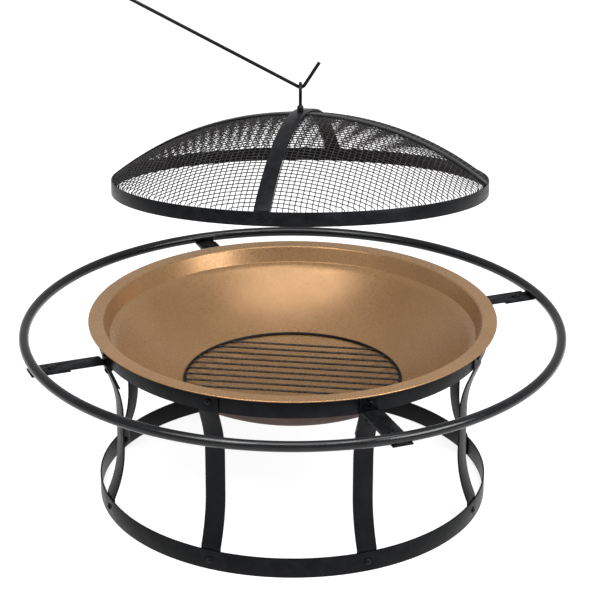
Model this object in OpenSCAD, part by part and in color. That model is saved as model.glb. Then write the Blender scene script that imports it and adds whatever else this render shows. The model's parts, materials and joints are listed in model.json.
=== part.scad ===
// Round fire pit: an eight-legged flat-bar stand with an outer tube rail, a lift-out bowl,
// a wire grate, and a domed spark screen that hangs from a poker.
// Millimetres, +Z up. The origin is on the floor, on the stand's vertical axis, and the front
// is -Y. An azimuth is an angle about +Z that starts at the front and grows towards +X.

/* [Bowl] */
// Outside diameter of the bowl's flange
bowl_d = 762; // [600:1:950]
// Depth of the bowl from the top of its flange to its lowest point
bowl_depth = 180; // [130:1:220]
// Width of the flat flange
flange_w = 27; // [24:0.5:36]
// Thickness of the bowl's steel
bowl_t = 1.5; // [1:0.1:3]
// Depth of the conical wall below the flange
wall_depth = 30; // [24:0.5:40]
// How far the conical wall narrows from its top to the ledge
wall_taper = 10.8; // [8:0.5:20]
// Width of the ledge that carries the spark screen
ledge_w = 10; // [6:0.5:14]
// Fall of the ledge towards the middle
ledge_fall = 4; // [2:0.5:7]

/* [Stand] */
// Height of the support band's top edge, on which the bowl rests
stand_h = 350; // [290:1:450]
// Width of every flat bar in the stand
bar_w = 38; // [30:0.5:48]
// Thickness of every flat bar in the stand
bar_t = 3; // [2:0.1:4]
// Gap between the bowl's conical wall and the support band
band_gap = 7; // [5:0.5:12]
// How much further out the floor band stands than the support band
foot_spread = 4; // [0:0.5:20]
// How far a leg bows in from the support band to its waist
leg_bow = 24.5; // [15:0.5:40]
// Slope of the legs' top ends from the vertical
top_slope = 22.5; // [15:0.5:35]
// Slope of the legs' bottom ends from the vertical
foot_slope = 22; // [15:0.5:35]
// Radius of the legs' lower bow
lower_bow_r = 240; // [150:5:260]
// Radius of the legs' upper bow
upper_bow_r = 180; // [100:5:200]
// Height of a leg's bottom end above the floor
foot_lift = 3; // [1:0.5:8]
// Azimuth of the first leg
first_leg = 21.5; // [0:0.5:44]

/* [Rail] */
// Clear distance from the bowl's flange to the rail
rail_gap = 110; // [90:1:160]
// Diameter of the rail's tube
tube_d = 19; // [15:0.5:25]
// Wall of the rail's tube
tube_t = 1.5; // [1:0.1:2]
// Height of the arms' underside above the support band's lower edge
arm_rise = 5; // [2:0.5:10]
// Clear distance from an arm's end to the rail
arm_gap = 4; // [2:0.5:8]
// Distance from an arm's bolt to the rail's centreline
rail_bolt_in = 34.5; // [28:0.5:40]
// How far a bracket reaches in past the arm's bolt
bracket_in = 30; // [20:1:40]
// How far a bracket reaches out past the rail's centreline
bracket_out = 8.5; // [5:0.5:20]
// Length of the reduced end that plugs into the next rail segment
spigot_l = 22; // [15:1:35]

/* [Fasteners] */
// Diameter of the band and leg bolts
bolt_d = 6; // [5:0.5:8]
// Diameter of the bolts between arms and brackets
rail_bolt_d = 8; // [6:0.5:10]
// Clearance of a bolt in its hole, on the diameter
bolt_play = 0.5; // [0.3:0.1:1]

/* [Grate] */
// Outside diameter of the grate
grate_d = 412; // [300:1:460]
// Diameter of the grate's ring wire
ring_wire = 5; // [4:0.5:8]
// Diameter of the grate's bars
bar_wire = 4; // [3:0.5:6]
// Number of bars
bar_count = 12; // [4:1:14]
// Distance between neighbouring bars
bar_pitch = 26.5; // [18:0.5:32]
// Azimuth that the bars run along
bar_azimuth = 82.3; // [0:0.1:180]

/* [Spark screen] */
// Play between the screen's band and the bowl's wall
screen_play = 0.7; // [0.5:0.1:3]
// Height of the screen's band
hoop_h = 24.5; // [14:0.5:30]
// Thickness of the screen's band and straps
hoop_t = 2.5; // [2:0.1:4]
// Height of the straps' crossing above the band's bottom edge
dome_h = 145; // [110:1:180]
// Thickness of the mesh
mesh_t = 1; // [0.8:0.1:2]
// Width of the two crossing straps
strap_w = 27.5; // [15:0.5:35]
// Azimuth of the first strap
strap_azimuth = -11; // [-45:0.5:45]
// Height that the straps and the mesh reach down to inside the band
tuck_h = 4; // [2:0.5:8]

/* [Lifting eye and poker] */
// Diameter of the eye bolt's wire
eye_wire = 6; // [4:0.5:6]
// Inside radius of the eye
eye_r = 9; // [8:0.5:12]
// Height of the eye's neck between the ring and the ferrule
neck_h = 11; // [10:0.5:30]
// Height and diameter of the ferrule under the eye
ferrule = 12; // [9:0.5:15]
// Diameter of the poker's rod
poker_d = 6.4; // [5:0.1:7]
// Length of the poker from its bend to its handle loop
poker_l = 380; // [250:5:500]
// Length of the poker's hook
hook_l = 49; // [30:1:70]
// Rise of the poker's long arm above the horizontal
poker_rise = 28.4; // [10:0.1:60]
// Rise of the poker's hook above the horizontal
hook_rise = 58; // [30:0.1:80]
// Centreline radius of the poker's bend
bend_r = 9; // [8.8:0.1:14]
// Centreline radius of the poker's handle loop
loop_r = 15; // [12:0.5:25]
// Height of the hook's lowest centre point while the screen is held up
hang_h = 794.7; // [700:0.1:900]
// How far the held screen stands to the right of the bowl's axis
hang_x = 13; // [-20:0.5:20]
// Tilt of the held screen, positive when its front is raised
hang_tilt = 9.7; // [-15:0.1:15]

/* [Hidden] */
$fn = 96;

touch = 0.05;                            // gap between pieces that bear on each other
body_gap = 0.3;                          // gap between pieces that move apart
bend_fillet = 6;                         // bend radius of a flat bar, on its middle
flange_r = bowl_d / 2;
mouth_r = flange_r - flange_w;           // outside of the wall at its top
ledge_r = mouth_r - wall_taper;          // outside of the wall at the ledge
dish_r = ledge_r - ledge_w;
rim_z = stand_h + body_gap;              // underside of the bowl's flange
ledge_z = rim_z - wall_depth;
dish_z = ledge_z - ledge_fall;
bowl_z = rim_z + bowl_t - bowl_depth;    // lowest point of the bowl
dish_h = dish_z - bowl_z;
dish_sphere = (dish_r * dish_r + dish_h * dish_h) / (2 * dish_h);

support_r = mouth_r + band_gap + bar_t;  // outside of the support band
floor_r = support_r + foot_spread;       // outside of the floor band
band_z = stand_h - bar_w;                // lower edge of the support band
tab_r = support_r + touch + bar_t / 2;   // middle of the tabs outside the support band
foot_r = sqrt(pow(floor_r - bar_t, 2) - pow(bar_w / 2, 2)) - touch - bar_t / 2;
waist_r = tab_r - leg_bow;
foot_bend_z = bar_w + 4;
lower_bow_z = foot_bend_z + (foot_r - waist_r) / tan(foot_slope);
upper_bow_z = band_z - leg_bow / tan(top_slope);
bar_step = (bar_t + touch) / cos(top_slope);

arm_z = band_z + arm_rise;               // underside of the arms
arm_mid_z = arm_z + bar_t / 2;
tube_sink = 0.3;                         // depth of the rail's weld in its bracket
rail_r = flange_r + rail_gap + tube_d / 2;
rail_z = arm_z + tube_d / 2 - tube_sink;
arm_end_r = rail_r - tube_d / 2 - arm_gap;
rail_bolt_r = rail_r - rail_bolt_in;
bracket_from = rail_bolt_r - bracket_in;
bracket_to = rail_r + bracket_out;
seam_lag = 2.6;                          // angle from an arm back to its rail seam
seam_gap = 0.05;                         // angle left open at a rail seam
degree_l = rail_r * PI / 180;            // length of one degree of the rail
bore_d = tube_d - 2 * tube_t;
spigot_d = bore_d - 2 * touch;
spigot_t = 1.2;

hanger_bolt_z = arm_z - 20;              // on the slope shared by arm leg and hanger
hanger_tip_z = band_z - 48;
head_ratio = 2;                          // head diameter over bolt diameter
head_h = 3.4;
nut_h = 5;
bolt_tail = 2;                           // thread beyond the nut
slope_lean = 90 + top_slope;

grate_r = grate_d / 2 - ring_wire / 2;
grate_reach = dish_sphere - bowl_t - ring_wire / 2 - body_gap;
grate_z = bowl_z + dish_sphere - sqrt(grate_reach * grate_reach - grate_r * grate_r);

hoop_r = ledge_r - bowl_t / cos(atan2(wall_taper, wall_depth)) - screen_play;
strap_end_r = sqrt(pow(hoop_r - hoop_t, 2) - pow(strap_w / 2, 2)) - touch - hoop_t / 2;
crown_h = hoop_h + 1;                    // height where the straps turn down
dome_gap = 0.3;                          // gap between domed pieces, which curve two ways
lower_top = dome_h - 1.5 * hoop_t - dome_gap;
upper_top = dome_h - 0.5 * hoop_t;
mesh_in = hoop_t / 2 + dome_gap + mesh_t / 2;
eye_centre = poker_d / 2 + body_gap - eye_r;
apex_drop = -(eye_centre - eye_r - eye_wire) + neck_h + ferrule;
hoop_drop = apex_drop + dome_h;          // hook to the band's bottom edge
shank_l = 16;                            // thread below the straps' crossing
washer = [20, 1.5];                      // diameter and thickness
eye_nut_h = 4;
arm_lap = 0.5;                           // length of a poker arm inside the bend

// ---- Paths of bent flat bars -------------------------------------------------------------

function unit(v) = v / norm(v);
function turned(v, a) = [v.x * cos(a) - v.y * sin(a), v.x * sin(a) + v.y * cos(a)];

// Points of the arc of radius r that rounds the corner a-b-c
function corner_arc(a, b, c, r) =
    let (back = unit(a - b), on = unit(c - b), half = acos(back * on) / 2,
         turn = 180 - 2 * half, side = cross(back, on) < 0 ? 1 : -1,
         centre = b + unit(back + on) * r / sin(half),
         start = b + back * r / tan(half) - centre,
         steps = max(2, ceil(turn / 3)))
    [for (k = [0:steps]) centre + turned(start, side * turn * k / steps)];

// The path through the points p, with corner i rounded at radius r[i]
function rounded(p, r) = [
    for (i = [0:len(p) - 1])
        each (r[i] == 0 ? [p[i]] : corner_arc(p[i - 1], p[i], p[i + 1], r[i]))];

// Mitred normal of the path p at point i
function mitre(p, i) =
    let (last = len(p) - 1,
         before = unit(i > 0 ? p[i] - p[i - 1] : p[1] - p[0]),
         after = unit(i < last ? p[i + 1] - p[i] : p[last] - p[last - 1]),
         along = unit(before + after))
    [-along.y, along.x] / (before * along);

// Outline of a strip of thickness t that follows the path p
function strip(p, t) = concat(
    [for (i = [0:len(p) - 1]) p[i] + mitre(p, i) * t / 2],
    [for (i = [len(p) - 1:-1:0]) p[i] - mitre(p, i) * t / 2]);

// Points of a circle about [0, middle] from one angle to another
function arc(middle, r, from, to, steps) = [
    for (k = [0:steps])
        let (a = from + (to - from) * k / steps) [r * cos(a), middle + r * sin(a)]];

// Radius of the slope's middle line at height z, step bars further out
function slope_at(z, step) = tab_r + step * bar_step - (band_z - z) * tan(top_slope);

// Lower end and bow that every leg shares, up to its upper slope
function leg_start(step) = [
    [foot_r, foot_lift], [foot_r, foot_bend_z], [waist_r, lower_bow_z],
    [waist_r, upper_bow_z - step * bar_step / tan(top_slope)]];
leg_radii = [0, bend_fillet, lower_bow_r, upper_bow_r];

// ---- Shared shapes -----------------------------------------------------------------------

module at_azimuth(a) {
    rotate([0, 0, a - 90]) children();
}

module flat_bar(path, w, t) {
    rotate([90, 0, 0]) linear_extrude(w, center = true) polygon(strip(path, t));
}

module radial_hole(r, z, d) {
    translate([r, 0, z]) rotate([0, 90, 0]) cylinder(d = d + bolt_play, h = 40, center = true);
}

module band(r, z, holes_z) {
    difference() {
        translate([0, 0, z]) cylinder(r = r, h = bar_w, $fn = 180);
        translate([0, 0, z - 1]) cylinder(r = r - bar_t, h = bar_w + 2, $fn = 180);
        for (i = [0:7]) at_azimuth(first_leg + 45 * i) radial_hole(r, holes_z, bolt_d);
    }
}

// A round-headed bolt along +Z, with the underside of its head at the origin
module bolt(d, grip) {
    head_r = d * head_ratio / 2;
    rotate_extrude() polygon(concat(
        [[0, -grip], [d / 2, -grip], [d / 2, 0], [head_r, 0]],
        [for (a = [0:15:90]) [head_r * cos(a), head_h * (0.25 + 0.75 * sin(a))]]));
}

// A hexagon nut that starts at the origin and grows along -Z
module nut(d, h) {
    translate([0, 0, -h]) difference() {
        cylinder(d = d * 1.65 / cos(30), h = h, $fn = 6);
        translate([0, 0, -1]) cylinder(d = d + 2 * touch, h = h + 2);
    }
}

function leg_azimuth(i) = first_leg + 90 * i - 45;
function arm_azimuth(i) = first_leg + 90 * i;

// ---- Stand -------------------------------------------------------------------------------

module floor_band() {
    color("#2b2d30") band(floor_r, 0, bar_w / 2);
}

module support_band() {
    color("#232427") band(support_r, band_z, stand_h - bar_w / 2);
}

module plain_leg(i) {
    path = rounded(
        concat(leg_start(0), [[tab_r, band_z], [tab_r, stand_h - 1]]),
        concat(leg_radii, [bend_fillet, 0]));
    color("#2b2d30") at_azimuth(leg_azimuth(i)) difference() {
        flat_bar(path, bar_w, bar_t);
        radial_hole(foot_r, bar_w / 2, bolt_d);
        radial_hole(tab_r, stand_h - bar_w / 2, bolt_d);
    }
}

module arm_leg(i) {
    path = rounded(
        concat(leg_start(1), [[slope_at(arm_mid_z, 1), arm_mid_z], [arm_end_r, arm_mid_z]]),
        concat(leg_radii, [bend_fillet, 0]));
    color("#2b2d30") at_azimuth(arm_azimuth(i)) difference() {
        flat_bar(path, bar_w, bar_t);
        radial_hole(foot_r, bar_w / 2, bolt_d);
        translate([slope_at(hanger_bolt_z, 1), 0, hanger_bolt_z]) rotate([0, slope_lean, 0])
            cylinder(d = bolt_d + bolt_play, h = 40, center = true);
        translate([rail_bolt_r, 0, arm_mid_z])
            cylinder(d = rail_bolt_d + bolt_play, h = 20, center = true);
    }
}

module hanger(i) {
    path = rounded(
        [[slope_at(hanger_tip_z, 0), hanger_tip_z], [tab_r, band_z], [tab_r, stand_h - 1]],
        [0, bend_fillet, 0]);
    color("#232427") at_azimuth(arm_azimuth(i)) difference() {
        flat_bar(path, bar_w, bar_t);
        radial_hole(tab_r, stand_h - bar_w / 2, bolt_d);
        translate([slope_at(hanger_bolt_z, 1), 0, hanger_bolt_z]) rotate([0, slope_lean, 0])
            cylinder(d = bolt_d + bolt_play, h = 20, center = true);
    }
}

// ---- Rail --------------------------------------------------------------------------------

module rail_bracket(i) {
    color("#2b2d30") at_azimuth(arm_azimuth(i)) difference() {
        translate([bracket_from, -bar_w / 2, arm_z - bar_t - touch])
            cube([bracket_to - bracket_from, bar_w, bar_t]);
        translate([rail_bolt_r, 0, arm_z])
            cylinder(d = rail_bolt_d + bolt_play, h = 20, center = true);
    }
}

// Solid round bar of diameter d along the rail's centreline, between two angles
module rail_arc(from, to, d) {
    rotate([0, 0, from]) rotate_extrude(angle = to - from, $fn = 180)
        translate([rail_r, 0]) circle(d = d, $fn = 48);
}

module rail_tube(i) {
    body_end = 90 - seam_gap;
    spigot_end = body_end + spigot_l / degree_l;
    color("#26282b") translate([0, 0, rail_z]) at_azimuth(arm_azimuth(i) - seam_lag)
        difference() {
            union() {
                rail_arc(0, body_end, tube_d);
                rail_arc(body_end - 1, spigot_end, spigot_d);
            }
            rail_arc(-1, body_end - 0.4, bore_d);
            rail_arc(body_end - 1, spigot_end + 1, spigot_d - 2 * spigot_t);
        }
}

// ---- Fasteners of the stand --------------------------------------------------------------

module each_leg() {
    for (i = [0:7]) at_azimuth(first_leg + 45 * i) children();
}

module each_arm() {
    for (i = [0:3]) at_azimuth(first_leg + 90 * i) children();
}

module foot_bolts() {
    grip = floor_r - foot_r + bar_t / 2 + nut_h + bolt_tail;
    color("#1d1e20") each_leg() translate([floor_r + touch, 0, bar_w / 2])
        rotate([0, 90, 0]) bolt(bolt_d, grip);
}

module foot_nuts() {
    color("#1d1e20") each_leg() translate([foot_r - bar_t / 2 - touch, 0, bar_w / 2])
        rotate([0, 90, 0]) nut(bolt_d, nut_h);
}

module band_bolts() {
    grip = 2 * bar_t + nut_h + bolt_tail;
    color("#1d1e20") each_leg() translate([tab_r + bar_t / 2 + touch, 0, stand_h - bar_w / 2])
        rotate([0, 90, 0]) bolt(bolt_d, grip);
}

module band_nuts() {
    color("#1d1e20") each_leg() translate([support_r - bar_t - 2 * touch, 0, stand_h - bar_w / 2])
        rotate([0, 90, 0]) nut(bolt_d, nut_h);
}

// Places a fastener on the slope, with its own origin off the arm leg's middle by out
module on_slope(out) {
    each_arm() translate([slope_at(hanger_bolt_z, 1), 0, hanger_bolt_z])
        rotate([0, slope_lean, 0]) translate([0, 0, out]) children();
}

module hanger_bolts() {
    color("#1d1e20") on_slope(bar_t / 2 + touch) bolt(bolt_d, 2 * bar_t + nut_h + bolt_tail);
}

module hanger_nuts() {
    color("#1d1e20") on_slope(-1.5 * bar_t - 2 * touch) nut(bolt_d, nut_h);
}

module rail_bolts() {
    color("#1d1e20") each_arm() translate([rail_bolt_r, 0, arm_z + bar_t + touch])
        bolt(rail_bolt_d, 2 * bar_t + nut_h + bolt_tail);
}

module rail_nuts() {
    color("#1d1e20") each_arm() translate([rail_bolt_r, 0, arm_z - bar_t - 2 * touch])
        nut(rail_bolt_d, nut_h);
}

// ---- Bowl and grate ----------------------------------------------------------------------

module bowl() {
    rim = rounded(
        [[flange_r, rim_z], [mouth_r, rim_z], [ledge_r, ledge_z], [dish_r, dish_z]],
        [0, 4, 4, 0]);
    middle = bowl_z + dish_sphere;
    edge = acos(dish_r / dish_sphere);
    inner = dish_sphere - bowl_t;
    wall_out = [for (i = [0:len(rim) - 1]) rim[i]];
    wall_in = [for (i = [len(rim) - 2:-1:0]) rim[i] - mitre(rim, i) * bowl_t];
    color("#b58a5e") rotate_extrude($fn = 180) polygon(concat(
        wall_out,
        arc(middle, dish_sphere, -edge, -90, 24),
        arc(middle, inner, -90, -acos((dish_r - bowl_t * 0.7) / inner), 24),
        wall_in));
}

module grate_ring() {
    color("#1d1e20") translate([0, 0, grate_z]) rotate_extrude($fn = 120)
        translate([grate_r, 0]) circle(d = ring_wire, $fn = 32);
}

module grate_bars() {
    color("#1d1e20") translate([0, 0, grate_z]) at_azimuth(bar_azimuth)
        for (i = [1:bar_count]) {
            offset = (i - (bar_count + 1) / 2) * bar_pitch;
            half = sqrt(grate_r * grate_r - offset * offset) - touch;
            translate([0, offset, 0]) rotate([0, 90, 0])
                cylinder(d = bar_wire, h = 2 * half, center = true, $fn = 24);
        }
}

// ---- Spark screen ------------------------------------------------------------------------

// Places the screen, drawn from its band's bottom edge up, as it hangs on the hook
module hung() {
    translate([hang_x, 0, hang_h]) rotate([-hang_tilt, 0, 0])
        translate([0, 0, -hoop_drop]) children();
}

// Sphere radius of a strap whose middle rises to top over the band
function strap_sphere(top) =
    let (rise = top - crown_h) (strap_end_r * strap_end_r + rise * rise) / (2 * rise);

module screen_band() {
    color("#1c1d1f") hung() difference() {
        cylinder(r = hoop_r, h = hoop_h, $fn = 180);
        translate([0, 0, -1]) cylinder(r = hoop_r - hoop_t, h = hoop_h + 2, $fn = 180);
    }
}

module screen_mesh() {
    shell = strap_sphere(lower_top);
    middle = lower_top - shell;
    edge_r = strap_end_r - mesh_in;
    outside = shell - mesh_in + mesh_t / 2;
    inside = outside - mesh_t;
    from_out = acos((edge_r + mesh_t / 2) / outside);
    from_in = acos((edge_r - mesh_t / 2) / inside);
    color("#3a3b3e") hung() difference() {
        rotate_extrude($fn = 180) polygon(concat(
            [[edge_r - mesh_t / 2, tuck_h], [edge_r + mesh_t / 2, tuck_h]],
            arc(middle, outside, from_out, 90, 20),
            arc(middle, inside, 90, from_in, 20)));
        cylinder(d = eye_wire + bolt_play, h = 2 * dome_h);
    }
}

module strap(azimuth, top) {
    shell = strap_sphere(top);
    edge = acos(strap_end_r / shell);
    path = concat([[strap_end_r, tuck_h]], arc(top - shell, shell, edge, 180 - edge, 36),
                  [[-strap_end_r, tuck_h]]);
    hung() at_azimuth(azimuth) difference() {
        flat_bar(path, strap_w, hoop_t);
        cylinder(d = eye_wire + bolt_play, h = 2 * dome_h);
    }
}

module strap_lower() {
    color("#2a2b2e") strap(strap_azimuth + 90, lower_top);
}

module strap_upper() {
    color("#2f3033") strap(strap_azimuth, upper_top);
}

// Places a piece of the lifting eye, drawn from the straps' crossing up
module on_crossing() {
    hung() translate([0, 0, dome_h + touch]) children();
}

module eye_bolt() {
    ring_r = eye_r + eye_wire / 2;
    ring_z = apex_drop - touch + eye_centre;
    color("#1c1d1f") on_crossing() union() {
        translate([0, 0, ring_z]) rotate([0, 90, 0]) rotate_extrude($fn = 64)
            translate([ring_r, 0]) circle(d = eye_wire, $fn = 32);
        translate([0, 0, -shank_l])
            cylinder(d = eye_wire, h = shank_l + ring_z - ring_r, $fn = 32);
    }
}

module eye_ferrule() {
    half = ferrule / 2;
    bore = eye_wire / 2 + touch;
    color("#1c1d1f") on_crossing() rotate_extrude() polygon(concat(
        [[bore, 0], [half - 1, 0], [half, 1], [half, half]],
        [for (a = [15:15:60]) [half * cos(a), half + half * sin(a)]],
        [[bore, ferrule]]));
}

module eye_washer() {
    under = 2 * hoop_t + mesh_t + 3 * dome_gap + touch;
    color("#1c1d1f") on_crossing() translate([0, 0, -under - washer[1]]) difference() {
        cylinder(d = washer[0], h = washer[1]);
        translate([0, 0, -1]) cylinder(d = eye_wire + bolt_play, h = washer[1] + 2);
    }
}

module eye_nut() {
    under = 2 * hoop_t + mesh_t + 3 * dome_gap + 2 * touch + washer[1];
    color("#1c1d1f") on_crossing() translate([0, 0, -under]) nut(eye_wire, eye_nut_h);
}

// ---- Poker -------------------------------------------------------------------------------

// A straight rod that starts just inside the bend and rises at the angle a on side +1 or -1
module poker_arm(a, side, length) {
    translate([side * bend_r * sin(a), 0, bend_r * (1 - cos(a))])
        rotate([0, side * (90 - a), 0]) translate([0, 0, -arm_lap])
            cylinder(d = poker_d - 0.1, h = length + arm_lap, $fn = 32);
}

module poker() {
    loop_at = poker_l + loop_r;
    color("#17181a") translate([hang_x, 0, hang_h]) union() {
        poker_arm(poker_rise, -1, poker_l);
        poker_arm(hook_rise, 1, hook_l);
        translate([0, 0, bend_r]) rotate([90, 0, 0]) rotate([0, 0, -90 - poker_rise])
            rotate_extrude(angle = poker_rise + hook_rise, $fn = 96)
                translate([bend_r, 0]) circle(d = poker_d, $fn = 32);
        translate([-bend_r * sin(poker_rise) - loop_at * cos(poker_rise), 0,
                   bend_r * (1 - cos(poker_rise)) + loop_at * sin(poker_rise)])
            rotate([90, 0, 0]) rotate_extrude($fn = 96)
                translate([loop_r, 0]) circle(d = poker_d, $fn = 32);
    }
}

// ---- Nodes -------------------------------------------------------------------------------

floor_band();
support_band();
for (i = [1:4]) plain_leg(i);
for (i = [1:4]) arm_leg(i);
for (i = [1:4]) hanger(i);
for (i = [1:4]) rail_bracket(i);
for (i = [1:4]) rail_tube(i);
foot_bolts();
foot_nuts();
band_bolts();
band_nuts();
hanger_bolts();
hanger_nuts();
rail_bolts();
rail_nuts();
bowl();
grate_ring();
grate_bars();
screen_band();
screen_mesh();
strap_lower();
strap_upper();
eye_bolt();
eye_ferrule();
eye_washer();
eye_nut();
poker();
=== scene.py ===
"""Round fire pit with a lift-out copper bowl, a grate and a hanging spark screen.

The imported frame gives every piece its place. This script models the detailed pieces around it,
gives every piece its finish, and sets up the floor, the lights and the camera.
"""
import json
import logging
import math
from contextlib import contextmanager
from dataclasses import dataclass
from enum import Enum
from typing import Callable, Iterator, Sequence

import bmesh
import bpy
from mathutils import Matrix, Vector

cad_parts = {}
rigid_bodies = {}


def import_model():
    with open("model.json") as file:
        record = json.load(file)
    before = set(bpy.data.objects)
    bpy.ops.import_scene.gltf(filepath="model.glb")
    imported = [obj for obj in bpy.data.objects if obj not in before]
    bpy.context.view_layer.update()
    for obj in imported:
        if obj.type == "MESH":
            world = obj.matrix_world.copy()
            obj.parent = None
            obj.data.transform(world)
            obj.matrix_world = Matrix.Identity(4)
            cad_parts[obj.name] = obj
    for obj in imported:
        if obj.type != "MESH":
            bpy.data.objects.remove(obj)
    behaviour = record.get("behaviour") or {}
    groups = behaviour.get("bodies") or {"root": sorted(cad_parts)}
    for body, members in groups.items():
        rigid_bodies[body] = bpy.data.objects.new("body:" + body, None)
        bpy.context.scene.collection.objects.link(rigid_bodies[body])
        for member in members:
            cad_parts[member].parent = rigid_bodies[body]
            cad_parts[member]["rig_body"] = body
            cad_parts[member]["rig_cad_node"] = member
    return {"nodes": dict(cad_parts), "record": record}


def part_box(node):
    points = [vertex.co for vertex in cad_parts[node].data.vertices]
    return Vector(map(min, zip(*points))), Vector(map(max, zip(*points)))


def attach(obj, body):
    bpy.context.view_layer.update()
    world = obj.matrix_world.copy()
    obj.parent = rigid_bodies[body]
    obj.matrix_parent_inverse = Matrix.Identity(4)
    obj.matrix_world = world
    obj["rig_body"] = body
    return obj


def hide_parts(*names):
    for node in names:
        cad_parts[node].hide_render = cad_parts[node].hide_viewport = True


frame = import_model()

log = logging.getLogger("fire_pit")
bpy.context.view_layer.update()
Point = tuple[float, float]
Colour = tuple[float, float, float]
FIRST_LEG = 21.5                 # azimuth of the first arm leg, in degrees from the front
BAR_T = 0.003                    # thickness of the flat bar
TOP_SLOPE = 22.5                 # lean of the legs where they meet the support band, in degrees
TOUCH = 0.00005                  # gap between flat pieces that touch
HOOK = (0.013, 0.0, 0.7947)      # where the poker's hook carries the screen's eye
NOISE_ROUGHNESS = 0.55           # strength of the finer layers in every noise pattern


# ---- Modelling helpers -------------------------------------------------------------------


def pick_only(obj: bpy.types.Object) -> None:
    """Deselects everything and makes one object selected and active.

    Args:
        obj: The object to work on.
    """
    if bpy.context.object and bpy.context.object.mode != "OBJECT":
        bpy.ops.object.mode_set(mode="OBJECT")
    bpy.ops.object.select_all(action="DESELECT")
    obj.select_set(True)
    bpy.context.view_layer.objects.active = obj


@contextmanager
def editing(obj: bpy.types.Object) -> Iterator[None]:
    """Holds an object in edit mode with nothing selected, and leaves edit mode afterwards.

    Args:
        obj: The mesh object to edit.
    """
    pick_only(obj)
    bpy.ops.object.mode_set(mode="EDIT")
    bpy.ops.mesh.select_mode(type="VERT")
    bpy.ops.mesh.select_all(action="DESELECT")
    yield
    bpy.ops.object.mode_set(mode="OBJECT")


def select_where(obj: bpy.types.Object, test: Callable[[Vector], bool]) -> int:
    """Adds to the selection the vertices whose place passes a test, in edit mode.

    Args:
        obj: The object in edit mode.
        test: Says whether a vertex at this place is selected.

    Returns:
        The number of vertices selected by this call.
    """
    shape = bmesh.from_edit_mesh(obj.data)
    picked = [v for v in shape.verts if test(v.co)]
    for vert in picked:
        vert.select_set(True)
    shape.select_flush(True)
    bmesh.update_edit_mesh(obj.data)
    return len(picked)


def apply_modifier(obj: bpy.types.Object, kind: str, **settings: object) -> None:
    """Adds a modifier, sets it, and applies it.

    Args:
        obj: The object to modify.
        kind: The modifier's type name.
        **settings: The modifier's values.
    """
    pick_only(obj)
    modifier = obj.modifiers.new(kind.lower(), kind)
    for name, value in settings.items():
        setattr(modifier, name, value)
    bpy.ops.object.modifier_apply(modifier=modifier.name)


def settle(obj: bpy.types.Object, place: Matrix | None = None, angle: float = 35.0) -> None:
    """Moves a piece to its place, writes that place into its mesh and smooths its faces.

    Args:
        obj: The piece.
        place: The transform to apply, or None to keep it where it is.
        angle: The largest angle in degrees between faces that are shaded as one surface.
    """
    pick_only(obj)
    if place is not None:
        obj.matrix_world = place @ obj.matrix_world
    bpy.ops.object.transform_apply(location=True, rotation=True, scale=True)
    bpy.ops.object.shade_smooth_by_angle(angle=math.radians(angle))


def lathe(name: str, profile: Sequence[Point], steps: int, ring: bool = False) -> bpy.types.Object:
    """Draws a profile by extruding one vertex from point to point, and spins it about +Z.

    Args:
        name: The new object's name.
        profile: (radius, height) points. An open profile starts and ends on the axis.
        steps: The number of steps round the circle.
        ring: True if the profile is closed and stays off the axis.

    Returns:
        The turned object, with its normals outwards.
    """
    bpy.ops.object.select_all(action="DESELECT")
    bpy.ops.mesh.primitive_plane_add(size=0.001, location=(0, 0, 0))
    turned = bpy.context.object
    turned.name = turned.data.name = name
    with editing(turned):
        bpy.ops.mesh.select_all(action="SELECT")
        bpy.ops.mesh.merge(type="CENTER")
        radius, height = profile[0]
        bpy.ops.transform.translate(value=(radius, 0, height))
        for next_radius, next_height in list(profile[1:]) + ([profile[0]] if ring else []):
            bpy.ops.mesh.extrude_vertices_move(
                TRANSFORM_OT_translate={"value": (next_radius - radius, 0, next_height - height)})
            radius, height = next_radius, next_height
        bpy.ops.mesh.select_all(action="SELECT")
        bpy.ops.mesh.spin(steps=steps, angle=math.tau, center=(0, 0, 0), axis=(0, 0, 1))
        bpy.ops.mesh.select_all(action="SELECT")
        bpy.ops.mesh.remove_doubles(threshold=1e-6)
        bpy.ops.mesh.normals_make_consistent(inside=False)
    return turned


def arc_points(centre: Point, radius: float, start: float, end: float, steps: int) -> list[Point]:
    """Points of a circular arc in the profile plane.

    Args:
        centre: The arc's centre as (radius, height).
        radius: The arc's radius.
        start: The first angle in degrees.
        end: The last angle in degrees.
        steps: The number of steps between them.

    Returns:
        The arc's points.
    """
    angles = [math.radians(start + (end - start) * k / steps) for k in range(steps + 1)]
    return [(centre[0] + radius * math.cos(a), centre[1] + radius * math.sin(a)) for a in angles]


def copied(source: bpy.types.Object, place: Matrix) -> bpy.types.Object:
    """Copies a piece with its own mesh and puts the copy in its place.

    Args:
        source: The piece to copy.
        place: The copy's transform.

    Returns:
        The copy.
    """
    pick_only(source)
    bpy.ops.object.duplicate(linked=False)
    twin = bpy.context.object
    twin.matrix_world = place
    bpy.ops.object.transform_apply(location=True, rotation=True, scale=True)
    return twin


def joined(parts: Sequence[bpy.types.Object], name: str) -> bpy.types.Object:
    """Joins several objects into one mesh piece.

    Args:
        parts: The objects to join.
        name: The joined piece's name.

    Returns:
        The joined piece.
    """
    pick_only(parts[0])
    for part in parts[1:]:
        part.select_set(True)
    bpy.ops.object.join()
    whole = bpy.context.object
    whole.name = whole.data.name = name
    return whole


def cut_by(obj: bpy.types.Object, cutter: bpy.types.Object) -> None:
    """Subtracts a cutter from a piece and removes the cutter.

    Args:
        obj: The piece that is cut.
        cutter: The shape to take away.
    """
    apply_modifier(obj, "BOOLEAN", object=cutter, operation="DIFFERENCE", solver="EXACT")
    bpy.data.objects.remove(cutter)


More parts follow.
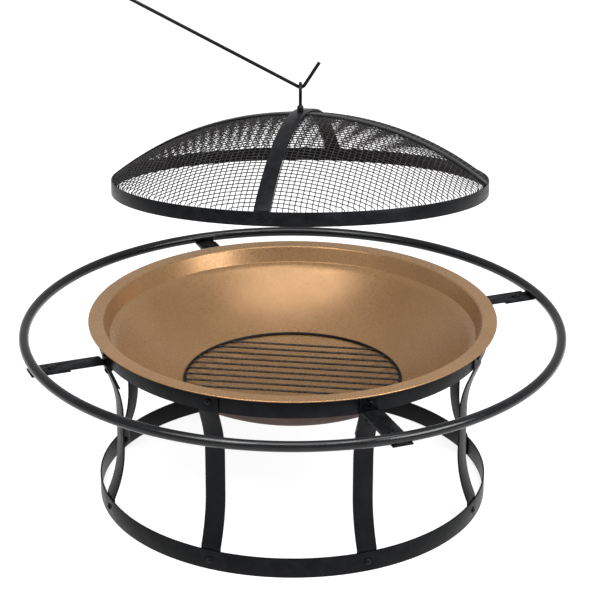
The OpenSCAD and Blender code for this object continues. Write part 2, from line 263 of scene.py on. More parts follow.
def softened(node: str, name: str, width: float, segments: int = 2) -> bpy.types.Object:
    """Copies a frame node as a clean mesh with its sharp edges rolled over.

    Args:
        node: The frame node to copy.
        name: The new piece's name.
        width: The width of the edge rounding, in metres.
        segments: The number of faces across a rounding.

    Returns:
        The copy.
    """
    source = frame["nodes"][node]
    pick_only(source)
    bpy.ops.object.duplicate(linked=False)
    piece = bpy.context.object
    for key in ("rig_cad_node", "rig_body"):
        if key in piece:
            del piece[key]
    piece.parent = None
    piece.name = piece.data.name = name
    piece.data.materials.clear()
    with editing(piece):
        bpy.ops.mesh.select_all(action="SELECT")
        bpy.ops.mesh.remove_doubles(threshold=2e-6)
        bpy.ops.mesh.dissolve_limited(angle_limit=math.radians(0.5), use_dissolve_boundaries=False)
        bpy.ops.mesh.customdata_custom_splitnormals_clear()
    apply_modifier(piece, "BEVEL", width=width, segments=segments, limit_method="ANGLE",
                   angle_limit=math.radians(40), use_clamp_overlap=True)
    settle(piece)
    return piece


def about_z(azimuth: float) -> Matrix:
    """A turn that brings +X to the outward direction at an azimuth, in degrees from the front."""
    return Matrix.Rotation(math.radians(azimuth - 90), 4, "Z")


# ---- Finishes ----------------------------------------------------------------------------


class Nodes:
    """Builds one node material, from object coordinates."""

    def __init__(self, name: str) -> None:
        """Makes an empty material that holds a Principled shader.

        Args:
            name: The material's name.
        """
        self.material = bpy.data.materials.new(name)
        self.material.use_nodes = True
        self.tree = self.material.node_tree
        self.shader = next(n for n in self.tree.nodes if n.type == "BSDF_PRINCIPLED")
        self.coords = self.tree.nodes.new("ShaderNodeTexCoord").outputs["Object"]

    def noise(self, scale: float, detail: float) -> bpy.types.NodeSocket:
        """Adds a noise pattern.

        Args:
            scale: Cells per metre.
            detail: The number of finer layers.

        Returns:
            The noise value socket.
        """
        pattern = self.tree.nodes.new("ShaderNodeTexNoise")
        pattern.inputs["Scale"].default_value = scale
        pattern.inputs["Detail"].default_value = detail
        pattern.inputs["Roughness"].default_value = NOISE_ROUGHNESS
        self.tree.links.new(self.coords, pattern.inputs["Vector"])
        return pattern.outputs["Fac"]

    def cells(self, scale: float) -> bpy.types.NodeSocket:
        """Adds a pattern of random flat cells.

        Args:
            scale: Cells per metre.

        Returns:
            The cell colour socket.
        """
        pattern = self.tree.nodes.new("ShaderNodeTexVoronoi")
        pattern.inputs["Scale"].default_value = scale
        self.tree.links.new(self.coords, pattern.inputs["Vector"])
        return pattern.outputs["Color"]

    def ramp(self, value: bpy.types.NodeSocket, low: float, high: float,
             first: Colour, last: Colour) -> bpy.types.NodeSocket:
        """Maps a value onto a blend of two colours.

        Args:
            value: The value to map.
            low: The value that gives the first colour.
            high: The value that gives the last colour.
            first: The first colour.
            last: The last colour.

        Returns:
            The colour socket.
        """
        blend = self.tree.nodes.new("ShaderNodeValToRGB")
        blend.color_ramp.elements[0].position = low
        blend.color_ramp.elements[0].color = (*first, 1)
        blend.color_ramp.elements[1].position = high
        blend.color_ramp.elements[1].color = (*last, 1)
        self.tree.links.new(value, blend.inputs["Fac"])
        return blend.outputs["Color"]

    def spread(self, value: bpy.types.NodeSocket, low: float, high: float) -> bpy.types.NodeSocket:
        """Maps a pattern's middle range onto the numbers from low to high."""
        scaled = self.tree.nodes.new("ShaderNodeMapRange")
        for key, number in (("From Min", 0.3), ("From Max", 0.7),
                            ("To Min", low), ("To Max", high)):
            scaled.inputs[key].default_value = number
        self.tree.links.new(value, scaled.inputs["Value"])
        return scaled.outputs["Result"]

    def mixed(self, first: bpy.types.NodeSocket, second: bpy.types.NodeSocket,
              share: bpy.types.NodeSocket | float) -> bpy.types.NodeSocket:
        """Blends two colours.

        Args:
            first: The colour underneath.
            second: The colour laid over it.
            share: How much of the second shows.

        Returns:
            The blended colour socket.
        """
        mix = self.tree.nodes.new("ShaderNodeMix")
        mix.data_type = "RGBA"
        if isinstance(share, (int, float)):
            mix.inputs[0].default_value = share
        else:
            self.tree.links.new(share, mix.inputs[0])
        self.tree.links.new(first, mix.inputs[6])
        self.tree.links.new(second, mix.inputs[7])
        return mix.outputs[2]

    def worn(self, low: float, high: float) -> bpy.types.NodeSocket:
        """A mask of exposed edges, from the surface's pointiness.

        Args:
            low: Pointiness where the wear starts.
            high: Pointiness where the wear is full.

        Returns:
            The mask socket.
        """
        geometry = self.tree.nodes.new("ShaderNodeNewGeometry")
        return self.ramp(geometry.outputs["Pointiness"], low, high, (0, 0, 0), (1, 1, 1))

    def marked(self, name: str) -> bpy.types.NodeSocket:
        """Reads a mask that is stored on the piece.

        Args:
            name: The stored attribute's name.

        Returns:
            The mask socket.
        """
        stored = self.tree.nodes.new("ShaderNodeAttribute")
        stored.attribute_name = name
        return stored.outputs["Fac"]

    def bump(self, height: bpy.types.NodeSocket, strength: float, distance: float) -> None:
        """Lays a relief on the shader's normal, over any relief that is already there.

        Args:
            height: The height pattern.
            strength: The relief's strength.
            distance: The relief's full height in metres.
        """
        relief = self.tree.nodes.new("ShaderNodeBump")
        relief.inputs["Strength"].default_value = strength
        relief.inputs["Distance"].default_value = distance
        self.tree.links.new(height, relief.inputs["Height"])
        below = self.shader.inputs["Normal"]
        if below.is_linked:
            self.tree.links.new(below.links[0].from_socket, relief.inputs["Normal"])
        self.tree.links.new(relief.outputs["Normal"], below)

    def drive(self, socket: str, source: bpy.types.NodeSocket) -> None:
        """Links a pattern to one of the shader's inputs."""
        self.tree.links.new(source, self.shader.inputs[socket])

    def set(self, **numbers: float) -> None:
        """Sets plain numbers on the shader, with underscores for the spaces in socket names."""
        for name, number in numbers.items():
            self.shader.inputs[name.replace("_", " ")].default_value = number


@dataclass(frozen=True)
class PowderCoat:
    """Black powder coat with a fine grain, a little dust tone and paler rubbed edges."""

    name: str
    dark: Colour = (0.0016, 0.0018, 0.0023)
    light: Colour = (0.0042, 0.0045, 0.0053)
    rubbed: Colour = (0.020, 0.021, 0.023)
    smooth: float = 0.30
    rough: float = 0.44
    grain: float = 1400.0
    relief: float = 0.00006
    gloss: float = 0.07

    def build(self) -> bpy.types.Material:
        """Makes the material.

        Returns:
            The finished material.
        """
        mat = Nodes(self.name)
        tone = mat.ramp(mat.noise(22, 5), 0.35, 0.68, self.dark, self.light)
        edge = mat.ramp(mat.noise(60, 3), 0.45, 0.6, self.light, self.rubbed)
        mat.drive("Base Color", mat.mixed(tone, edge, mat.worn(0.53, 0.62)))
        mat.drive("Roughness", mat.spread(mat.noise(160, 4), self.smooth, self.rough))
        mat.bump(mat.noise(self.grain, 2), 0.35, self.relief)
        mat.bump(mat.noise(45, 2), 0.15, 0.0004)
        mat.set(Specular_IOR_Level=self.gloss)
        return mat.material


@dataclass(frozen=True)
class CopperEnamel:
    """Satin copper paint with metal flake and a fine orange-peel skin, darkened underneath by
    painted shade.
    """

    name: str
    deep: Colour = (0.245, 0.131, 0.056)
    warm: Colour = (0.300, 0.171, 0.079)
    flake_tone: Colour = (0.41, 0.277, 0.156)
    # painted shade: the near-black colour given to the bowl's downward-facing skin
    outside: Colour = (0.026, 0.011, 0.006)
    metal: float = 0.62
    smooth: float = 0.24
    rough: float = 0.36
    flake_share: float = 0.28
    flakes_per_metre: float = 2600.0
    gloss: float = 0.3

    def build(self) -> bpy.types.Material:
        """Makes the material.

        Returns:
            The finished material.
        """
        mat = Nodes(self.name)
        base = mat.ramp(mat.noise(7, 5), 0.32, 0.70, self.deep, self.warm)
        flakes = mat.ramp(mat.cells(self.flakes_per_metre), 0.25, 0.95, self.deep,
                          self.flake_tone)
        inside = mat.mixed(base, flakes, self.flake_share)
        # painted shade: where the surface faces down, the copper gives way to a near-black colour
        painted_shade = mat.ramp(mat.noise(18, 4), 0.3, 0.7, self.outside,
                           tuple(2.2 * part for part in self.outside))
        under = mat.marked("underside")
        mat.drive("Base Color", mat.mixed(inside, painted_shade, under))
        satin = mat.spread(mat.noise(240, 3), self.smooth, self.rough)
        mat.drive("Roughness", mat.mixed(satin, mat.spread(mat.noise(90, 3), 0.8, 0.95), under))
        mat.drive("Metallic", mat.ramp(under, 0.0, 1.0, (self.metal,) * 3, (0.05,) * 3))
        mat.bump(mat.noise(520, 3), 0.22, 0.00012)
        mat.set(Specular_IOR_Level=self.gloss)
        return mat.material


@dataclass(frozen=True)
class BlackOxide:
    """Oiled black steel that shows bare metal where it is rubbed."""

    name: str
    dark: Colour = (0.0022, 0.0022, 0.0028)
    grey: Colour = (0.0060, 0.0060, 0.0066)
    bare: Colour = (0.08, 0.078, 0.074)
    smooth: float = 0.26
    rough: float = 0.42
    metal: float = 0.35
    gloss: float = 0.14

    def build(self) -> bpy.types.Material:
        """Makes the material.

        Returns:
            The finished material.
        """
        mat = Nodes(self.name)
        tone = mat.ramp(mat.noise(90, 4), 0.35, 0.7, self.dark, self.grey)
        bare = mat.ramp(mat.noise(300, 2), 0.4, 0.7, self.grey, self.bare)
        mat.drive("Base Color", mat.mixed(tone, bare, mat.worn(0.56, 0.68)))
        mat.drive("Roughness", mat.spread(mat.noise(400, 3), self.smooth, self.rough))
        mat.bump(mat.noise(900, 2), 0.2, 0.00005)
        mat.set(Metallic=self.metal, Specular_IOR_Level=self.gloss)
        return mat.material


FINISHES = (
    PowderCoat("powder_coat"),
    PowderCoat("rail_coat", smooth=0.14, rough=0.22, relief=0.00002, gloss=0.28),
    BlackOxide("black_fasteners"),
    CopperEnamel("copper_enamel"),
    BlackOxide("grate_wire", smooth=0.38, rough=0.55, metal=0.1),
    PowderCoat("mesh", dark=(0.0050, 0.0042, 0.0050), light=(0.011, 0.0095, 0.010),
               smooth=0.26, rough=0.40, relief=0.00002),
    BlackOxide("poker_steel", smooth=0.14, rough=0.24, metal=0.2),
)


class Wardrobe:
    """Holds the finished materials by the record's slot names."""

    def __init__(self) -> None:
        """Builds every finish once."""
        self.made = {finish.name: finish.build() for finish in FINISHES}

    def dress(self, piece: bpy.types.Object, slot: str, body: str, *stands_for: str) -> None:
        """Gives a new piece its finish and its body, and hides the frame nodes it stands for.

        Args:
            piece: The new piece.
            slot: The record's material slot.
            body: The frame body that carries the piece.
            *stands_for: Frame nodes that the piece replaces.
        """
        piece.data.materials.clear()
        piece.data.materials.append(self.made[slot])
        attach(piece, body)
        if stands_for:
            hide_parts(*stands_for)
        log.info("%s: %d faces, %s, on %s", piece.name, len(piece.data.polygons), slot, body)

    def dress_frame(self) -> None:
        """Gives every frame node the finish of its slot in the record."""
        for row in frame["record"]["subparts"]:
            node = frame["nodes"][row["node"]]
            node.data.materials.clear()
            node.data.materials.append(self.made[row["material_slot"]])


# ---- Fasteners ---------------------------------------------------------------------------


class Drive(Enum):
    """The recess in a bolt's head."""

    HEX_SOCKET = "hex socket"
    CROSS = "cross"


@dataclass
class Bolt:
    """A round-headed bolt, drawn along +Z with the underside of its head at the origin."""

    thread_d: float
    grip: float
    head_h: float = 0.0034
    pitch: float = 0.001
    drive: Drive = Drive.CROSS

    def build(self) -> bpy.types.Object:
        """Turns the head and the threaded shank, and cuts the recess.

        Returns:
            The bolt.
        """
        head_r, core_r = self.thread_d, self.thread_d / 2 - 0.0003
        profile = [(0.0, -self.grip), (core_r - 0.0006, -self.grip)]
        height = -self.grip + 0.0006
        while height < -0.0045:
            profile += [(core_r, height), (core_r + 0.0003, height + self.pitch / 2)]
            height += self.pitch
        profile += [(core_r + 0.0003, -0.004), (core_r + 0.0003, 0.0), (head_r - 0.0003, 0.0),
                    (head_r, 0.0003)]
        profile += [(head_r * math.cos(a), self.head_h * (0.25 + 0.75 * math.sin(a)))
                    for a in [math.radians(d) for d in range(0, 90, 10)]]
        bolt = lathe("bolt", profile + [(0.0, self.head_h)], 32)
        for cutter in self.recess(head_r):
            cut_by(bolt, cutter)
        settle(bolt, angle=30)
        return bolt

    def recess(self, head_r: float) -> list[bpy.types.Object]:
        """Makes the shapes that are cut out of the head.

        Args:
            head_r: The head's radius.

        Returns:
            One hexagonal prism, or two crossed blades.
        """
        depth, top = 0.0022, self.head_h + 0.001
        bpy.ops.object.select_all(action="DESELECT")
        if self.drive is Drive.HEX_SOCKET:
            bpy.ops.mesh.primitive_cylinder_add(
                vertices=6, radius=head_r * 0.36, depth=depth + 0.001,
                location=(0, 0, top - (depth + 0.001) / 2))
            return [bpy.context.object]
        blades = []
        for turn in (0.4, 0.4 + math.pi / 2):
            bpy.ops.object.select_all(action="DESELECT")
            bpy.ops.mesh.primitive_cube_add(size=1, location=(0, 0, top - (depth + 0.001) / 2),
                                            rotation=(0, 0, turn))
            blade = bpy.context.object
            blade.scale = (head_r * 0.85, head_r * 0.17, depth + 0.001)
            bpy.ops.object.transform_apply(location=True, rotation=True, scale=True)
            blades.append(blade)
        return blades


@dataclass
class Nut:
    """A chamfered hexagon nut that starts at the origin and grows along -Z."""

    thread_d: float
    height: float

    def build(self) -> bpy.types.Object:
        """Chamfers a hexagonal prism and bores it.

        Returns:
            The nut.
        """
        corner_r = self.thread_d * 0.825 / math.cos(math.radians(30))
        bpy.ops.object.select_all(action="DESELECT")
        bpy.ops.mesh.primitive_cylinder_add(vertices=6, radius=corner_r, depth=self.height,
                                            location=(0, 0, -self.height / 2))
        nut = bpy.context.object
        bpy.ops.object.transform_apply(location=True, rotation=True, scale=True)
        with editing(nut):
            bpy.ops.mesh.select_all(action="SELECT")
            bpy.ops.mesh.bevel(offset=0.0006, segments=2, affect="EDGES")
        bpy.ops.object.select_all(action="DESELECT")
        bpy.ops.mesh.primitive_cylinder_add(
            vertices=32, radius=self.thread_d / 2 + 0.00005, depth=self.height * 2,
            location=(0, 0, -self.height / 2))
        cut_by(nut, bpy.context.object)
        settle(nut, angle=30)
        return nut


@dataclass
class Hardware:
    """Every bolt and nut of the stand, each at its hole."""

    wardrobe: Wardrobe
    nut_h: float = 0.005
    tail: float = 0.002

    def ring_of(self, node: str) -> tuple[float, float]:
        """Finds where a ring of fasteners sits.

        Args:
            node: The frame node that holds the fasteners.

        Returns:
            The largest reach from the axis and the middle height.
        """
        verts = frame["nodes"][node].data.vertices
        low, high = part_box(node)
        return max(v.co.xy.length for v in verts), (low.z + high.z) / 2

    def place_all(self, pattern: bpy.types.Object, name: str, count: int, spot: Matrix) -> None:
        """Copies a fastener to every position of its kind and joins the copies.

        Args:
            pattern: The modelled fastener.
            name: The frame node that the copies stand for.
            count: The number of positions round the stand.
            spot: The fastener's place at the azimuth where +X points outwards.
        """
        copies = [copied(pattern, about_z(FIRST_LEG + 360 / count * k) @ spot)
                  for k in range(count)]
        bpy.data.objects.remove(pattern)
        whole = joined(copies, f"{name}_cut")
        self.wardrobe.dress(whole, "black_fasteners", "stand", name)

    def build(self, slope_seat: Callable[[float], Vector], rail_seat: tuple[float, float, float],
              seats: dict[str, float]) -> None:
        """Models each kind of fastener and sets it in place.

        Args:
            slope_seat: Gives a point on the hanger bolt's axis at a distance along it.
            rail_seat: The rail bolt's radius, its head seat and its nut face.
            seats: The radius of each radial head seat and nut face, by node.
        """
        outward = Matrix.Rotation(math.pi / 2, 4, "Y")
        middle = {"foot": self.ring_of("foot_bolts")[1], "band": self.ring_of("band_bolts")[1]}
        for kind, grip in (("foot", seats["foot_bolts"] - seats["foot_nuts"]),
                           ("band", seats["band_bolts"] - seats["band_nuts"])):
            length = grip + self.nut_h + self.tail
            for node, shape in ((f"{kind}_bolts", Bolt(0.006, length)),
                                (f"{kind}_nuts", Nut(0.006, self.nut_h))):
                spot = Matrix.Translation((seats[node], 0, middle[kind])) @ outward
                self.place_all(shape.build(), node, 8, spot)
        leaning = Matrix.Rotation(math.radians(90 + TOP_SLOPE), 4, "Y")
        grip = 2 * BAR_T + self.nut_h + self.tail
        for node, shape, out in (
                ("hanger_bolts", Bolt(0.006, grip), BAR_T / 2 + TOUCH),
                ("hanger_nuts", Nut(0.006, self.nut_h), -1.5 * BAR_T - 2 * TOUCH)):
            spot = Matrix.Translation(slope_seat(out)) @ leaning
            self.place_all(shape.build(), node, 4, spot)
        radius, head_z, nut_z = rail_seat
        for node, shape, height in (
                ("rail_bolts", Bolt(0.008, grip, pitch=0.00125, drive=Drive.HEX_SOCKET), head_z),
                ("rail_nuts", Nut(0.008, self.nut_h), nut_z)):
            self.place_all(shape.build(), node, 4, Matrix.Translation((radius, 0, height)))


# ---- Stand -------------------------------------------------------------------------------


@dataclass
class Stand:
    """The bands, legs, hangers, brackets and rail, with their rolled edges and welds."""

    wardrobe: Wardrobe
    bar_w: float = 0.038
    edge: float = 0.00045
    arm_rise: float = 0.005
    hanger_bolt_drop: float = 0.020
    tube_r: float = 0.0095
    rail_bolt_in: float = 0.0345
    seam_lag: float = 2.6
    support_r: float = 0.0
    floor_r: float = 0.0
    band_z: float = 0.0
    rail_r: float = 0.0
    rail_z: float = 0.0

    def __post_init__(self) -> None:
        """Reads the stand's radii and heights from the frame."""
        self.support_r, self.floor_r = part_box("support_band")[1].x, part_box("floor_band")[1].x
        self.band_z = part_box("support_band")[0].z
        low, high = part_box("rail_tube_1")
        reach = max(v.co.xy.length for v in frame["nodes"]["rail_tube_1"].data.vertices)
        self.rail_r, self.rail_z = reach - self.tube_r, (low.z + high.z) / 2

    def slope_seat(self, out: float) -> Vector:
        """A point on the hanger bolt's axis, measured outwards from the arm leg's middle."""
        lean = math.radians(TOP_SLOPE)
        tab_r = self.support_r + TOUCH + BAR_T / 2
        height = self.band_z + self.arm_rise - self.hanger_bolt_drop
        step = (BAR_T + TOUCH) / math.cos(lean)
        radius = tab_r + step - (self.band_z - height) * math.tan(lean)
        return Vector((radius + out * math.cos(lean), 0, height - out * math.sin(lean)))

    def build(self) -> None:
        """Builds the strips, the seam and weld details, and the fasteners."""
        strips = ["floor_band", "support_band"] + [
            f"{kind}_{i}" for kind in ("plain_leg", "arm_leg", "hanger", "rail_bracket")
            for i in range(1, 5)]
        for node in strips:
            piece = softened(node, f"{node}_rolled", self.edge)
            self.wardrobe.dress(piece, "powder_coat", "stand", node)
        self.add_band_seams()
        self.add_rail_welds()
        self.add_rail_seams()
        arm_z = self.band_z + self.arm_rise
        foot_r = math.sqrt((self.floor_r - BAR_T) ** 2 - (self.bar_w / 2) ** 2) - TOUCH
        tab_r = self.support_r + TOUCH
        seats = {"foot_bolts": self.floor_r + TOUCH,
                 "foot_nuts": foot_r - BAR_T - TOUCH,
                 "band_bolts": tab_r + BAR_T + TOUCH,
                 "band_nuts": self.support_r - BAR_T - 2 * TOUCH}
        rail_seat = (self.rail_r - self.rail_bolt_in, arm_z + BAR_T + TOUCH,
                     arm_z - BAR_T - 2 * TOUCH)
        Hardware(self.wardrobe).build(self.slope_seat, rail_seat, seats)

    def bead(self, length: float, radius: float, ripples: int) -> bpy.types.Object:
        """Turns a rippled weld bead along +Z, centred on the origin.

        Args:
            length: The bead's length.
            radius: The bead's largest radius.
            ripples: The number of ripples along it.

        Returns:
            The bead.
        """
        profile: list[Point] = [(0.0, -length / 2)]
        for k in range(2 * ripples + 1):
            along = -length / 2 + length * (k + 0.5) / (2 * ripples + 1)
            end = min(1.0, 2.5 * (0.5 - abs(along) / length) + 0.35)
            profile.append((radius * end * (1.0 if k % 2 else 0.86), along))
        return lathe("bead", profile + [(0.0, length / 2)], 10)

    def add_band_seams(self) -> None:
        """Lays a flush weld down the butt seam of each rolled band."""
        for name, radius, height, azimuth in (
                ("floor_band_weld", self.floor_r, self.bar_w / 2, 12.0),
                ("support_band_weld", self.support_r, self.band_z + self.bar_w / 2, 190.0)):
            bead = self.bead(self.bar_w * 0.96, 0.0011, 14)
            spot = about_z(azimuth) @ Matrix.Translation((radius - 0.0006, 0, height))
            settle(bead, spot, 60)
            bead.name = bead.data.name = name
            self.wardrobe.dress(bead, "powder_coat", "stand")

    def add_rail_welds(self) -> None:
        """Lays a weld on both sides of the tube where it crosses each bracket."""
        lying = Matrix.Rotation(math.pi / 2, 4, "X")
        height = self.rail_z - self.tube_r + 0.0011
        pattern = self.bead(self.bar_w * 0.72, 0.0019, 11)
        copies = [
            copied(pattern, about_z(FIRST_LEG + 90 * i)
                   @ Matrix.Translation((self.rail_r + side * 0.0052, 0, height)) @ lying)
            for i in range(4) for side in (-1, 1)]
        bpy.data.objects.remove(pattern)
        welds = joined(copies, "rail_bracket_welds")
        settle(welds, angle=60)
        self.wardrobe.dress(welds, "powder_coat", "stand")

    def add_rail_seams(self) -> None:
        """Fits the thin pressed collar edge that shows at each rail joint."""
        profile = arc_points((self.tube_r - 0.0004, 0), 0.0006, 0, 330, 8)
        pattern = lathe("collar", profile, 40, ring=True)
        lying = Matrix.Rotation(math.pi / 2, 4, "X")
        copies = [
            copied(pattern, about_z(FIRST_LEG + 90 * i - self.seam_lag - 0.05)
                   @ Matrix.Translation((self.rail_r, 0, self.rail_z)) @ lying)
            for i in range(4)]
        bpy.data.objects.remove(pattern)
        collars = joined(copies, "rail_seam_edges")
        settle(collars, angle=60)
        self.wardrobe.dress(collars, "rail_coat", "stand")


# ---- Bowl and grate ----------------------------------------------------------------------


@dataclass
class Bowl:
    """The pressed bowl: flange with a hemmed edge, conical wall, ledge and deep dish."""

    wardrobe: Wardrobe
    flange_w: float = 0.027
    sheet: float = 0.0015
    wall_depth: float = 0.030
    wall_taper: float = 0.0108
    ledge_w: float = 0.010
    ledge_fall: float = 0.004
    hem: float = 0.0014
    press_r: float = 0.004
    dish_steps: int = 40

    def skin(self, down: float) -> list[Point]:
        """The bowl's section from its rim to its lowest point, pressed with soft corners.

        Args:
            down: How far this skin lies below the upper one.

        Returns:
            The section's points from the rim inwards.
        """
        low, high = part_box("bowl")
        rim_r, top = high.x, high.z
        mouth_r, ledge_r = rim_r - self.flange_w, rim_r - self.flange_w - self.wall_taper
        dish_r, rim_z = ledge_r - self.ledge_w, top - self.sheet
        ledge_z = rim_z - self.wall_depth
        dish_z = ledge_z - self.ledge_fall
        corners = [(rim_r - 0.002, rim_z), (mouth_r, rim_z), (ledge_r, ledge_z), (dish_r, dish_z)]
        depth = dish_z - low.z
        sphere = (dish_r ** 2 + depth ** 2) / (2 * depth)
        edge = math.degrees(math.acos(dish_r / sphere))
        path = [corners[0]]
        for before, corner, after in zip(corners, corners[1:], corners[2:]):
            path += self.rounded(before, corner, after, self.press_r)
        path += arc_points((0, low.z + sphere), sphere, -edge, -90, self.dish_steps)
        return self.offset(path, self.sheet - down)

    @staticmethod
    def rounded(before: Point, corner: Point, after: Point, bend: float) -> list[Point]:
        """Points of the arc that rounds one corner of a path.

        Args:
            before: The path's previous corner.
            corner: The corner to round.
            after: The path's next corner.
            bend: The arc's radius.

        Returns:
            The arc's points.
        """
        here = Vector(corner)
        back, on = (Vector(before) - here).normalized(), (Vector(after) - here).normalized()
        half = back.angle(on) / 2
        centre = here + (back + on).normalized() * (bend / math.sin(half))
        start = here + back * (bend / math.tan(half)) - centre
        side = 1 if back.x * on.y - back.y * on.x < 0 else -1
        turn = math.pi - 2 * half
        points = []
        for k in range(9):
            a = side * turn * k / 8
            points.append((centre.x + start.x * math.cos(a) - start.y * math.sin(a),
                           centre.y + start.x * math.sin(a) + start.y * math.cos(a)))
        return points

    @staticmethod
    def offset(path: Sequence[Point], distance: float) -> list[Point]:
        """Moves a path towards the bowl's inside along its normals.

        Args:
            path: The points from the rim inwards.
            distance: How far to move it.

        Returns:
            The moved path, whose last point stays on the axis.
        """
        moved = []
        for i, point in enumerate(path):
            before, after = Vector(path[max(0, i - 1)]), Vector(path[min(len(path) - 1, i + 1)])
            along = (after - before).normalized()
            moved.append((point[0] + along.y * distance, point[1] - along.x * distance))
        moved[-1] = (0.0, path[-1][1] + distance)
        return moved

    @staticmethod
    def mark_underside(bowl: bpy.types.Object) -> None:
        """Stores which part of the bowl faces down, where the finish paints shade.

        Args:
            bowl: The turned bowl.
        """
        mask = bowl.data.attributes.new("underside", "FLOAT", "POINT")
        for vert, share in zip(bowl.data.vertices, mask.data):
            share.value = min(1.0, max(0.0, -4.0 * vert.normal.z))

    def build(self) -> None:
        """Turns the bowl with its hem and dresses it."""
        inside, outside = self.skin(0.0), self.skin(self.sheet)
        _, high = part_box("bowl")
        hem_centre = (high.x - self.hem, high.z - self.hem)
        hem = arc_points(hem_centre, self.hem, -110, 88, 10)
        bowl = lathe("bowl_pressed", outside[::-1] + hem + inside, 240)
        settle(bowl, angle=40)
        self.mark_underside(bowl)
        self.wardrobe.dress(bowl, "copper_enamel", "bowl", "bowl")


@dataclass
class Grate:
    """The grate's welds, where each bar meets the ring."""

    wardrobe: Wardrobe
    bar_count: int = 12
    bar_pitch: float = 0.0265
    bar_azimuth: float = 82.3
    weld_r: float = 0.0034
    ring_wire_r: float = 0.0025

    def build(self) -> None:
        """Models one weld and copies it to both ends of every bar."""
        low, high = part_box("grate_ring")
        ring_r, height = high.x - self.ring_wire_r, (low.z + high.z) / 2
        profile = [(0.0, -self.weld_r * 0.9)]
        profile += [(self.weld_r * s, self.weld_r * h) for s, h in
                    ((0.55, -0.78), (0.9, -0.4), (1.0, 0.0), (0.92, 0.35), (0.6, 0.75))]
        pattern = lathe("weld", profile + [(0.0, self.weld_r * 0.92)], 12)
        spots = []
        for k in range(self.bar_count):
            offset = (k - (self.bar_count - 1) / 2) * self.bar_pitch
            half = math.sqrt(ring_r ** 2 - offset ** 2) - 0.0022
            spots += [(side * half, offset, height) for side in (-1, 1)]
        turn = about_z(self.bar_azimuth)
        copies = [copied(pattern, turn @ Matrix.Translation(spot)) for spot in spots]
        bpy.data.objects.remove(pattern)
        welds = joined(copies, "grate_welds")
        settle(welds, angle=60)
        self.wardrobe.dress(welds, "grate_wire", "grate")


# ---- Spark screen ------------------------------------------------------------------------


